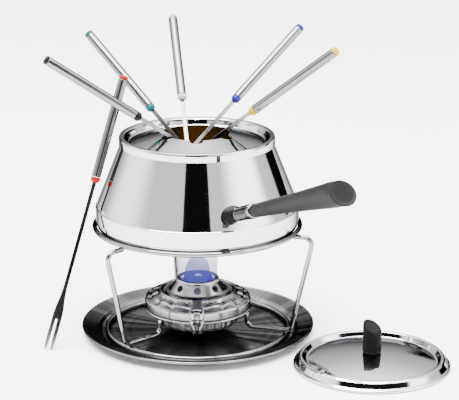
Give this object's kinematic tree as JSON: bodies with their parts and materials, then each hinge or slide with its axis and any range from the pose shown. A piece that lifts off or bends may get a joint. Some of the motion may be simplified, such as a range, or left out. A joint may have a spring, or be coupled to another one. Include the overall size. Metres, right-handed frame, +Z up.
{
  "type": "fondue set",
  "caption": "Steel fondue set: conical pot with side handle and fork guard on a wire stand over a spirit burner and tray, with colour-coded forks and a knobbed lid.",
  "frame": {"origin": "on the table, under the middle of the tray", "axes": "+Z up, -Y towards the front, where the regulator's tongue points; +X to the right, towards the lid"},
  "size_m": [0.3877, 0.3837, 0.2958],
  "materials": {
    "polished_steel": "mirror polished stainless steel",
    "brushed_steel": "brushed stainless steel",
    "chromed_wire": "bright chromed wire",
    "base_steel": "brushed encapsulated base",
    "burner_steel": "pressed stainless steel, satin",
    "dark_phenolic": "matt moulded phenolic",
    "wadding": "absorbent wadding",
    "white_plastic": "satin plastic",
    "blue_plastic": "satin plastic",
    "yellow_plastic": "satin plastic",
    "teal_plastic": "satin plastic",
    "black_plastic": "satin plastic",
    "red_plastic": "satin plastic"
  },
  "bodies": {
    "tray": {"tray": "brushed_steel"},
    "stand": {"stand_upper_ring": "chromed_wire", "stand_lower_ring": "chromed_wire", "stand_leg_left": "chromed_wire", "stand_leg_right": "chromed_wire", "stand_leg_back": "chromed_wire"},
    "pot": {"pot_shell": "polished_steel", "pot_base": "base_steel", "handle_bracket": "dark_phenolic", "handle_ferrule": "polished_steel", "handle_grip": "dark_phenolic"},
    "guard": {"fork_guard": "polished_steel"},
    "burner": {"burner_bowl": "burner_steel", "burner_fuel_cup": "burner_steel", "burner_wadding": "wadding"},
    "burner_cover": {"burner_cover": "burner_steel", "burner_cone": "burner_steel"},
    "regulator": {"regulator_ring": "burner_steel", "regulator_lever": "burner_steel"},
    "lid": {"lid_plate": "polished_steel", "lid_knob": "dark_phenolic", "lid_knob_screw": "brushed_steel"},
    "fork_white": {"fork_white_blade": "brushed_steel", "fork_white_collar": "white_plastic", "fork_white_handle": "brushed_steel", "fork_white_cap": "white_plastic"},
    "fork_blue": {"fork_blue_blade": "brushed_steel", "fork_blue_collar": "blue_plastic", "fork_blue_handle": "brushed_steel", "fork_blue_cap": "blue_plastic"},
    "fork_yellow": {"fork_yellow_blade": "brushed_steel", "fork_yellow_collar": "yellow_plastic", "fork_yellow_handle": "brushed_steel", "fork_yellow_cap": "yellow_plastic"},
    "fork_teal": {"fork_teal_blade": "brushed_steel", "fork_teal_collar": "teal_plastic", "fork_teal_handle": "brushed_steel", "fork_teal_cap": "teal_plastic"},
    "fork_black": {"fork_black_blade": "brushed_steel", "fork_black_collar": "black_plastic", "fork_black_handle": "brushed_steel", "fork_black_cap": "black_plastic"},
    "fork_red": {"fork_red_blade": "brushed_steel", "fork_red_collar": "red_plastic", "fork_red_handle": "brushed_steel", "fork_red_cap": "red_plastic"}
  },
  "joints": [
    {"name": "stand_lift", "type": "slide", "parent": "tray", "child": "stand", "axis": [0, 0, 1], "range_m": [0, 0.06]},
    {"name": "pot_lift", "type": "slide", "parent": "stand", "child": "pot", "axis": [0, 0, 1], "range_m": [0, 0.12]},
    {"name": "guard_lift", "type": "slide", "parent": "pot", "child": "guard", "axis": [0, 0, 1], "range_m": [0, 0.004]},
    {"name": "fork_white_pull", "type": "slide", "parent": "guard", "child": "fork_white", "axis": [-0.1066, 0.7586, 0.6428], "range_m": [0, 0.035]},
    {"name": "fork_blue_pull", "type": "slide", "parent": "guard", "child": "fork_blue", "axis": [0.6293, 0.4917, 0.6018], "range_m": [0, 0.035]},
    {"name": "fork_yellow_pull", "type": "slide", "parent": "guard", "child": "fork_yellow", "axis": [0.7575, -0.2172, 0.6157], "range_m": [0, 0.035]},
    {"name": "fork_teal_pull", "type": "slide", "parent": "guard", "child": "fork_teal", "axis": [-0.6124, 0.4959, 0.6157], "range_m": [0, 0.035]},
    {"name": "fork_black_pull", "type": "slide", "parent": "guard", "child": "fork_black", "axis": [-0.8382, -0.0293, 0.5446], "range_m": [0, 0.035]},
    {"name": "fork_red_pull", "type": "slide", "parent": "pot", "child": "fork_red", "axis": [0.2673, 0.2709, 0.9247], "range_m": [0, 0.06]},
    {"name": "burner_lift", "type": "slide", "parent": "stand", "child": "burner", "axis": [0, 0, 1], "range_m": [0, 0.018]},
    {"name": "burner_cover_lift", "type": "slide", "parent": "burner", "child": "burner_cover", "axis": [0, 0, 1], "range_m": [0, 0.008]},
    {"name": "regulator_turn", "type": "hinge", "parent": "burner_cover", "child": "regulator", "pos_m": [0, 0, 0.042], "axis": [0, 0, 1], "range_deg": [0, 45]},
    {"name": "lid_lift", "type": "slide", "parent": "tray", "child": "lid", "axis": [0, 0, 1], "range_m": [0, 0.1]}
  ]
}
